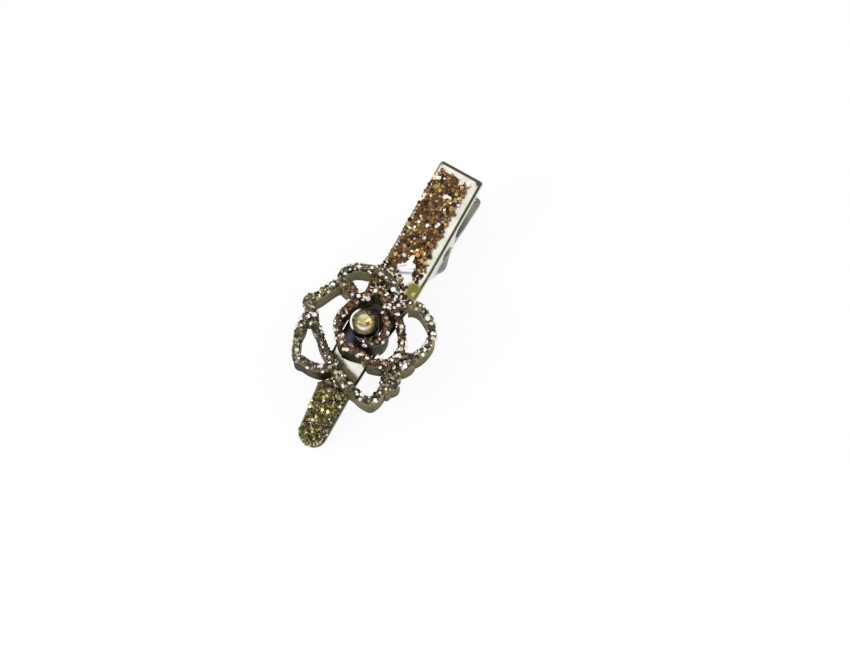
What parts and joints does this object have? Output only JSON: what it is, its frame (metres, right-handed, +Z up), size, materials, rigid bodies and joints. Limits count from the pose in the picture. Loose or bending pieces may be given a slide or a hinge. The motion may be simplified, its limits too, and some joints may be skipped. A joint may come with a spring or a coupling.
{
  "type": "duckbill hair clip",
  "caption": "Sprung duckbill hair clip of pressed sheet metal with a glitter handle and an openwork rose with a glass stone.",
  "frame": {"origin": "on the ground under the middle of the resting clip's bounding box", "axes": "+X to the rear of the clip, where the fingers squeeze, -X to the tip of the jaws, +Y to its left when the tip points away, +Z up; the clip rests on the rear edge of its lever and on the tip of its upper arm"},
  "size_m": [0.0524, 0.0218, 0.0173],
  "materials": {
    "plated_strip": "nickel-plated steel sheet, bright, with warm olive reflections",
    "plated_lever": "nickel-plated steel sheet, a little duller",
    "pin_steel": "bright plated rivet",
    "spring_steel": "drawn spring wire",
    "copper_glitter": "coarse copper and topaz glitter set in clear glue",
    "olive_glitter": "olive and gold glitter set in clear glue",
    "petal_metal": "olive-gold metal walls with champagne and brown glitter on the rims",
    "cup_metal": "bright pale-gold plating",
    "topaz_glass": "faceted golden topaz glass"
  },
  "bodies": {
    "upper": {"upper_arm": "plated_strip", "hinge_pin": "pin_steel", "torsion_spring": "spring_steel", "handle_glitter": "copper_glitter", "tip_glitter": "olive_glitter", "middle_petal_rear": "petal_metal", "middle_petal_right": "petal_metal", "middle_petal_front": "petal_metal", "middle_petal_left": "petal_metal", "middle_petal_corner": "petal_metal", "inner_curl": "petal_metal", "outer_petal_rear": "petal_metal", "outer_petal_rear_left": "petal_metal", "outer_petal_left": "petal_metal", "outer_petal_front": "petal_metal", "outer_petal_front_right": "petal_metal", "outer_petal_right": "petal_metal", "stone_cup": "cup_metal", "centre_stone": "topaz_glass"},
    "lower": {"lower_arm": "plated_lever"}
  },
  "joints": [
    {"name": "lever_hinge", "type": "hinge", "parent": "lower", "child": "upper", "pos_m": [0.01211, -0.0002, 0.00803], "axis": [0, 1, 0], "range_deg": [0, 50], "stiffness_Nm_per_rad": 0.03, "springref_deg": -85.94, "deforming": ["torsion_spring"]}
  ]
}
